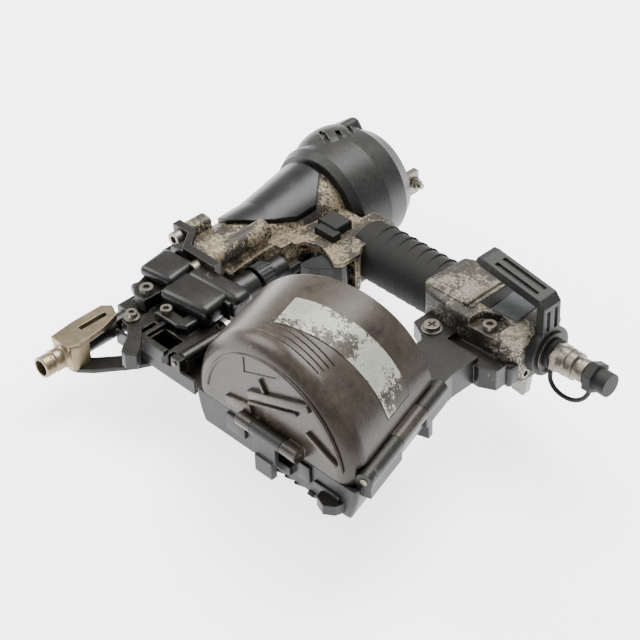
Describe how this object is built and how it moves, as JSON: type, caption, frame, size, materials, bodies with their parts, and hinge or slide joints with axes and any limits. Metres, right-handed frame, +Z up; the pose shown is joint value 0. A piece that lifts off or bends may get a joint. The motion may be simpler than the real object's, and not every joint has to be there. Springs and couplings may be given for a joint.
{
  "type": "coil roofing nailer",
  "caption": "Pneumatic coil nailer lying on its side, with a round swing-open canister, wrapped grip, swivelling hook and spring-loaded contact nose.",
  "frame": {"origin": "middle of the footprint of the tool as it lies on its right side, at table height", "axes": "+Z up from the table, +Y towards the head along the drive axis, +X towards the air plug along the grip"},
  "size_m": [0.2972, 0.3032, 0.1248],
  "materials": {
    "cast_housing": "worn black paint over cast alloy",
    "head_cover": "scuffed dark grey paint",
    "nose_black": "oily black",
    "door_black": "oily black",
    "nickel": "worn nickel",
    "blackened_steel": "blackened",
    "screw_steel": "zinc plated",
    "alloy": "machined",
    "black_plastic": "moulded",
    "trigger_black": "coated",
    "smoke_plastic": "scratched smoke brown",
    "label": "torn metallised film",
    "grip_tape": "wound tape",
    "cap_grey": "peeling silver grey paint",
    "bush_brass": "dull steel",
    "soft_rubber": "soft",
    "clear_plastic": "translucent"
  },
  "bodies": {
    "tool": {"air_filter": "screw_steel", "arm_bush": "bush_brass", "arm_spring": "blackened_steel", "bumper": "soft_rubber", "cap_bolts": "screw_steel", "cylinder_sleeve": "alloy", "door_hinge_pin": "blackened_steel", "end_cap": "cap_grey", "exhaust_bracket": "screw_steel", "exhaust_screw": "screw_steel", "feed_cap": "nose_black", "feed_housing": "nose_black", "feed_spring": "blackened_steel", "grip_wrap": "grip_tape", "head_bolts": "screw_steel", "head_cap": "head_cover", "head_valve_seal": "soft_rubber", "head_valve_spring": "blackened_steel", "inlet_bush": "bush_brass", "magazine_arm": "nose_black", "magazine_base": "black_plastic", "magazine_hinge_pin": "blackened_steel", "main_housing": "cast_housing", "nose_bolts": "screw_steel", "nose_casting": "nose_black", "rest_tab": "clear_plastic", "rubber_blocks": "soft_rubber", "side_panel_left": "black_plastic", "side_panel_right": "black_plastic", "support_post": "black_plastic", "trigger_pin": "blackened_steel", "valve_body": "black_plastic"},
    "piston": {"piston": "alloy", "piston_ring": "soft_rubber", "driver_blade": "blackened_steel"},
    "head_valve": {"head_valve": "black_plastic"},
    "feed": {"feed_piston": "blackened_steel"},
    "pawl": {"feed_pawl": "blackened_steel"},
    "door": {"feed_door": "door_black", "door_screws": "screw_steel"},
    "door_latch": {"door_latch": "door_black"},
    "contact": {"contact_nose": "nickel", "contact_arm": "blackened_steel", "arm_screws": "screw_steel", "dial_nut": "trigger_black"},
    "dial": {"depth_dial": "black_plastic"},
    "trigger": {"trigger": "trigger_black", "trigger_lever": "trigger_black"},
    "stem": {"valve_stem": "screw_steel"},
    "cover": {"magazine_cover": "smoke_plastic", "latch_pin": "blackened_steel", "label_plate": "label"},
    "cover_latch": {"magazine_latch": "black_plastic"},
    "nail_table": {"nail_support": "black_plastic"},
    "hook": {"belt_hook": "black_plastic"},
    "plug": {"air_plug": "screw_steel", "dust_cap": "soft_rubber", "cap_strap": "soft_rubber"}
  },
  "joints": [
    {"name": "piston_stroke", "type": "slide", "parent": "tool", "child": "piston", "axis": [0.0031, -0.9998, -0.0202], "range_m": [0, 0.088]},
    {"name": "valve_lift", "type": "slide", "parent": "tool", "child": "head_valve", "axis": [-0.0031, 0.9998, 0.0202], "range_m": [0, 0.004], "stiffness_N_per_m": 2000, "springref_m": -0.005, "deforming": ["head_valve_spring"]},
    {"name": "feed_stroke", "type": "slide", "parent": "tool", "child": "feed", "axis": [-0.9883, 0, -0.1523], "range_m": [0, 0.008], "stiffness_N_per_m": 500, "springref_m": -0.004, "deforming": ["feed_spring"]},
    {"name": "pawl_tilt", "type": "hinge", "parent": "feed", "child": "pawl", "pos_m": [-0.08266, -0.05479, 0.05499], "axis": [0.0031, -0.9998, -0.0202], "range_deg": [0, 15], "stiffness_Nm_per_rad": 0.02, "springref_deg": -17.19},
    {"name": "door_swing", "type": "hinge", "parent": "tool", "child": "door", "pos_m": [-0.0463, -0.07566, 0.05409], "axis": [-0.0031, 0.9998, 0.0202], "range_deg": [0, 88]},
    {"name": "door_latch_turn", "type": "hinge", "parent": "door", "child": "door_latch", "pos_m": [-0.08897, -0.09482, 0.05522], "axis": [-0.1523, -0.0204, 0.9881], "range_deg": [-35, 0]},
    {"name": "contact_press", "type": "slide", "parent": "tool", "child": "contact", "axis": [-0.0031, 0.9998, 0.0202], "range_m": [0, 0.01], "stiffness_N_per_m": 600, "springref_m": -0.02, "deforming": ["arm_spring"]},
    {"name": "depth_turn", "type": "hinge", "parent": "contact", "child": "dial", "pos_m": [-0.07367, -0.0006, 0.04788], "axis": [-0.0031, 0.9998, 0.0202], "continuous": true},
    {"name": "trigger_pull", "type": "hinge", "parent": "tool", "child": "trigger", "pos_m": [-0.04163, 0.03996, 0.05012], "axis": [0.1523, 0.0204, -0.9881], "range_deg": [0, 12], "stiffness_Nm_per_rad": 0.3, "springref_deg": -17.19},
    {"name": "stem_push", "type": "slide", "parent": "tool", "child": "stem", "axis": [-0.0031, 0.9998, 0.0202], "range_m": [0, 0.0025]},
    {"name": "cover_swing", "type": "hinge", "parent": "tool", "child": "cover", "pos_m": [0.09126, -0.04026, 0.074], "axis": [-0.2837, 0.9586, -0.0239], "range_deg": [0, 115]},
    {"name": "cover_latch_turn", "type": "hinge", "parent": "cover", "child": "cover_latch", "pos_m": [0.04099, -0.10212, 0.06548], "axis": [-0.9883, 0, -0.1523], "range_deg": [0, 45], "stiffness_Nm_per_rad": 0.05, "springref_deg": -28.65},
    {"name": "table_height", "type": "slide", "parent": "tool", "child": "nail_table", "axis": [-0.2837, 0.9586, -0.0239], "range_m": [-0.003, 0.01]},
    {"name": "hook_turn", "type": "hinge", "parent": "tool", "child": "hook", "pos_m": [0.09761, 0.07445, 0.07229], "axis": [-0.9883, 0, -0.1523], "range_deg": [0, 135]},
    {"name": "plug_swivel", "type": "hinge", "parent": "tool", "child": "plug", "pos_m": [0.12034, 0.07445, 0.07579], "axis": [0.9883, 0, 0.1523], "continuous": true}
  ],
  "couplings": [
    {"joint": "stem_push", "follows": "trigger_pull", "m_per_rad": 0.01}
  ]
}
